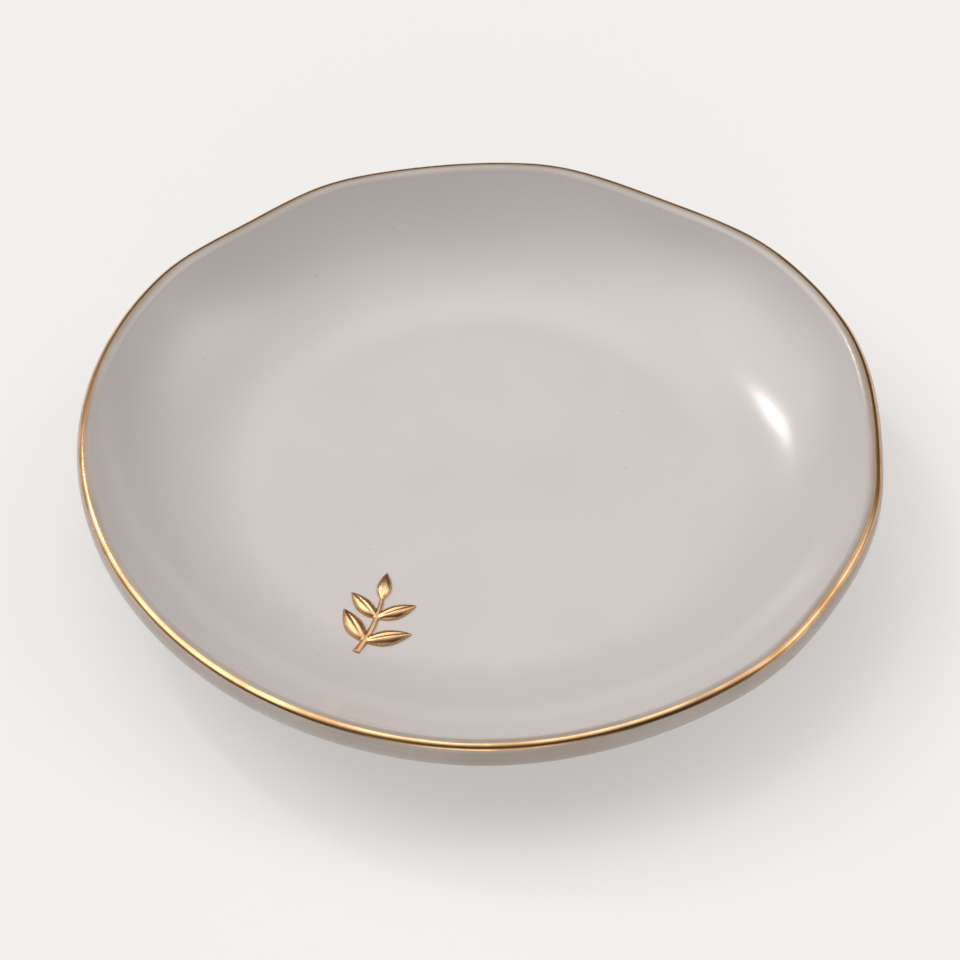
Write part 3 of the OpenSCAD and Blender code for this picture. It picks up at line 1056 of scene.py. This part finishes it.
class RINGDISH_OT_sprig(bpy.types.Operator):
    """Grow the raised leaf sprig, soften it as fired paste is, and gild it"""

    bl_idname = "ring_dish.sprig"
    bl_label = "Leaf Sprig"

    def execute(self, context):
        section = Section(context.scene.ring_dish_form)
        sprig = context.scene.ring_dish_sprig
        away = section.floor_r - sprig.inset
        values = {
            "Stem Length": sprig.length, "Stem Bend": sprig.bend,
            "Stem Thickness": sprig.stem, "Leaf Length": sprig.leaf_length,
            "Leaf Width": sprig.leaf_width, "Leaf Height": sprig.leaf_height,
            "Leaf Rows": sprig.rows, "Leaf Splay": sprig.splay, "Root": 2 * SUNK,
            "Place": (away * cos(sprig.at), away * sin(sprig.at),
                      section.floor_z),
            "Lean": sprig.lean, "Finish": gold_finish("Sprig Gold", 210.0, 0.5, 0.17)}
        soften = [("REMESH", {"mode": "VOXEL", "voxel_size": sprig.grain}),
                  ("SMOOTH", {"factor": 0.5, "iterations": 3})]
        piece = grow("gilded_sprig", line_mesh("gilded_sprig", [(0, 0), (0, 0.001)]),
                     once(leaf_sprig), values, extra=soften, sharp=60)
        settle(piece, "gilding", "leaf_sprig", "sprig_gilding")
        return {"FINISHED"}


class RINGDISH_OT_stage(bpy.types.Operator):
    """Set up the pale studio floor, the soft light and the camera"""

    bl_idname = "ring_dish.stage"
    bl_label = "Studio"

    def execute(self, context):
        scene, stage = context.scene, context.scene.ring_dish_stage
        tones = scene.ring_dish_colours
        form, section = dish_form(scene)
        start = section.foot_r - form.foot_round - FLOOR_START
        floor = bpy.data.objects.new("studio_floor", self.floor_mesh(start))
        scene.collection.objects.link(floor)
        floor.data.materials.append(floor_finish())
        self.surround(scene, stage, tones)
        lens = bpy.data.cameras.new("camera")
        lens.sensor_width, lens.lens = 36.0, stage.focal
        lens.clip_start, lens.clip_end = 0.01, 20.0
        camera = bpy.data.objects.new("camera", lens)
        scene.collection.objects.link(camera)
        camera.location = CAMERA_AT
        camera.rotation_euler = (radians(CAMERA_TILT), 0.0, 0.0)
        scene.camera = camera
        scene.view_settings.view_transform = "Standard"
        return {"FINISHED"}

    def floor_mesh(self, start):
        """A wide round floor, open where the foot hides it, so that the recess takes light"""
        steps = 128
        turns = [2 * pi * k / steps for k in range(steps)]
        points = [(r * cos(t), r * sin(t), 0.0) for r in (start, FLOOR_END) for t in turns]
        faces = [(k, steps + k, steps + (k + 1) % steps, (k + 1) % steps) for k in range(steps)]
        mesh = bpy.data.meshes.new("studio_floor")
        mesh.from_pydata(points, [], faces)
        return mesh

    def surround(self, scene, stage, tones):
        """Soft lights round the dish, one below it, and a narrow strip at the back left"""
        world = bpy.data.worlds.new("Studio")
        scene.world = world
        world.use_nodes = True
        world.node_tree.nodes.clear()
        net = Wiring(world.node_tree)
        way = net.add("ShaderNodeTexCoord").outputs["Generated"]
        level = stage.fill
        for turn, rise, narrow, bright in LIGHTS:
            middle = toward(radians(turn), radians(rise))
            apart = net.minus(net.dot(way, middle), 1.0)
            glow = net.exponent(net.times(apart, float(narrow)))
            level = net.scaled(glow, bright * stage.lights, level)
        level = net.scaled(self.strip(net, way, stage), stage.glint, level)
        camera, mirrored = seeing_rays(net)
        height = net.add("ShaderNodeSeparateXYZ", {0: way}).outputs[2]
        low = net.steady(height, BACKDROP_TOP, BACKDROP_FADE)
        seen = net.larger(camera, net.times(mirrored, low))
        light = net.add("ShaderNodeBackground", {
            "Color": (1.0, 1.0, 1.0, 1.0), "Strength": level})
        backdrop = net.add("ShaderNodeBackground",
                           {"Color": colour(tones.floor), "Strength": 1.0})
        either = net.either(seen, light, backdrop)
        out = net.add("ShaderNodeOutputWorld")
        world.node_tree.links.new(either.outputs[0], out.inputs[0])

    def strip(self, net, way, stage):
        """Where the strip light stands: 1 on it, 0 off it, with soft edges"""
        soft = 0.4
        front = toward(stage.glint_turn, stage.glint_rise)
        side = toward(stage.glint_turn + pi / 2, 0.0)
        glow = net.sum_up("GREATER_THAN", net.dot(way, front), 0.0)
        for across, half in ((side, stage.glint_width), (front.cross(side), stage.glint_height)):
            apart = net.sum_up("ABSOLUTE", net.dot(way, across))
            edge = net.steady(apart, (1 + soft) * sin(half), (1 - soft) * sin(half))
            glow = net.times(glow, edge)
        return glow


def toward(turn, rise):
    """The direction to a light, from its turn round the dish and its elevation"""
    return Vector((cos(turn) * cos(rise), sin(turn) * cos(rise), sin(rise)))


# ---- Panel and registration ----

STEPS = (RINGDISH_OT_clay, RINGDISH_OT_foot, RINGDISH_OT_inside, RINGDISH_OT_outside,
         RINGDISH_OT_recess, RINGDISH_OT_line, RINGDISH_OT_sprig, RINGDISH_OT_stage)
GROUPS = (("ring_dish_form", RingDishForm), ("ring_dish_gilding", RingDishGilding),
          ("ring_dish_sprig", RingDishSprig), ("ring_dish_colours", RingDishColours),
          ("ring_dish_stage", RingDishStage))


class RINGDISH_PT_panel(bpy.types.Panel):
    """Lists the sizes, the colours and the steps that build the dish"""

    bl_idname = "RINGDISH_PT_panel"
    bl_label = "Ring Dish"
    bl_space_type = "VIEW_3D"
    bl_region_type = "UI"
    bl_category = "Ring Dish"

    def draw(self, context):
        for name, group in GROUPS:
            box = self.layout.box()
            box.label(text=group.__doc__)
            for key in group.__annotations__:
                box.prop(getattr(context.scene, name), key)
        for step in STEPS:
            self.layout.operator(step.bl_idname)


CLASSES = (*[group for name, group in GROUPS], *STEPS, RINGDISH_PT_panel)


def register():
    for kind in CLASSES:
        bpy.utils.register_class(kind)
    for name, group in GROUPS:
        setattr(bpy.types.Scene, name, bpy.props.PointerProperty(type=group))


def unregister():
    for name, group in GROUPS:
        delattr(bpy.types.Scene, name)
    for kind in reversed(CLASSES):
        bpy.utils.unregister_class(kind)


def main():
    """Builds every piece and the studio"""
    register()
    for step in STEPS:
        group, name = step.bl_idname.split(".")
        getattr(getattr(bpy.ops, group), name)()


if __name__ == "__main__":
    main()
